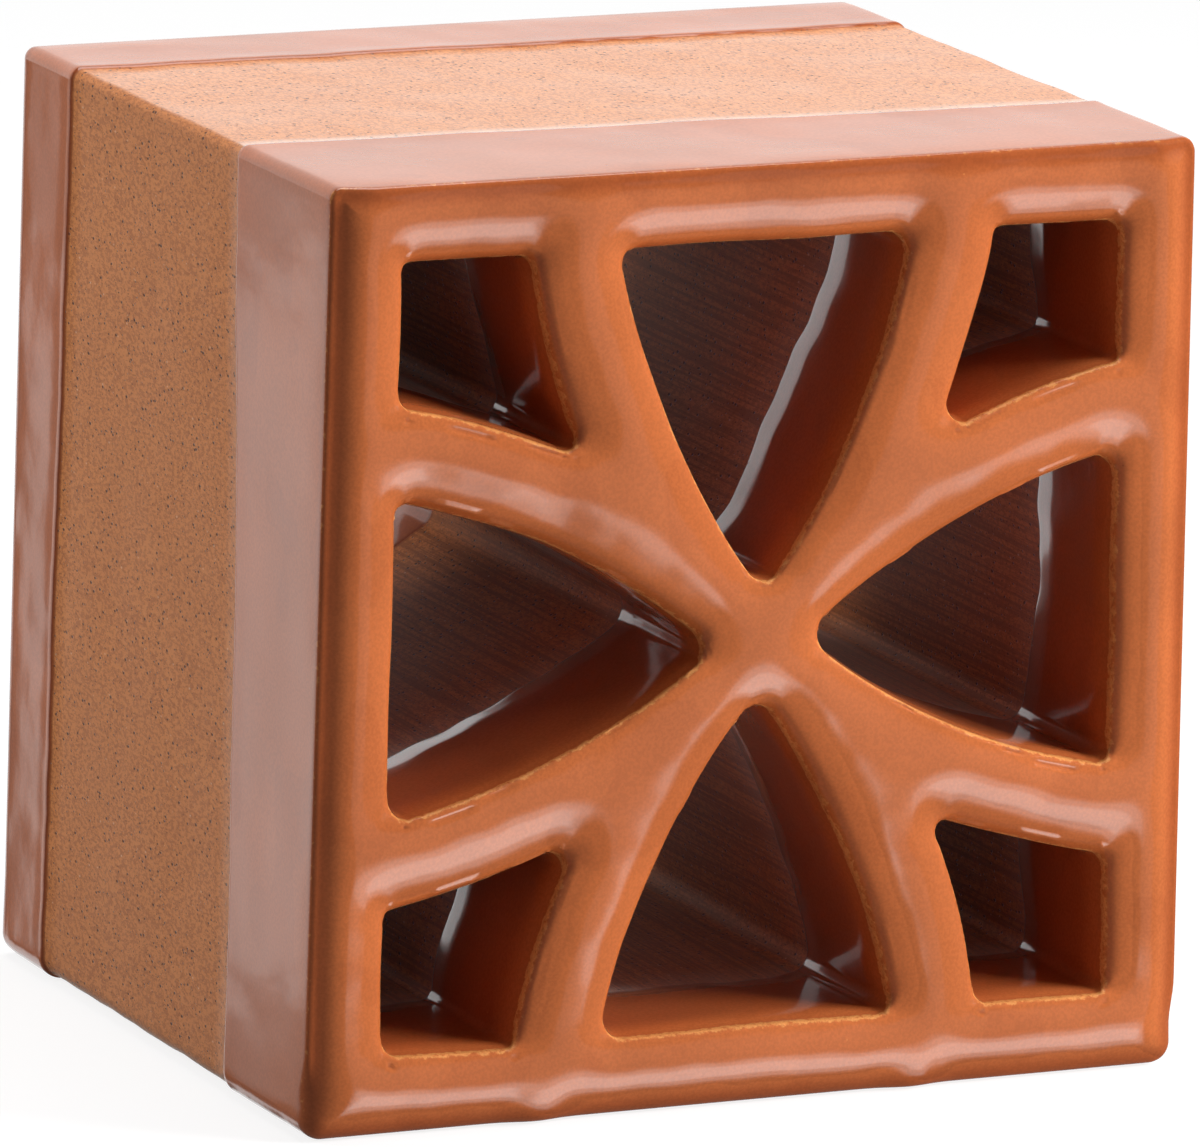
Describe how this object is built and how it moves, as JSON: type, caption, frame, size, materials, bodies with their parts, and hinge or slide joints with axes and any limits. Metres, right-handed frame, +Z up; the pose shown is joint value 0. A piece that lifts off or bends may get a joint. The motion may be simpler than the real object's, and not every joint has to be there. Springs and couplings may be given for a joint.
{
  "type": "breeze block",
  "caption": "Square pierced screen block of glazed terracotta, with petal openings around a crossed hub and a corner opening in each corner.",
  "frame": {"origin": "middle of the face that the block stands on", "axes": "+Z up, the face that is looked at towards -Y, the openings run along Y"},
  "size_m": [0.15, 0.13, 0.15],
  "materials": {
    "glazed_terracotta": "glossy amber-brown glaze on the front and back, raw terracotta band between"
  },
  "bodies": {
    "root": {"breeze_block": "glazed_terracotta"}
  },
  "joints": []
}
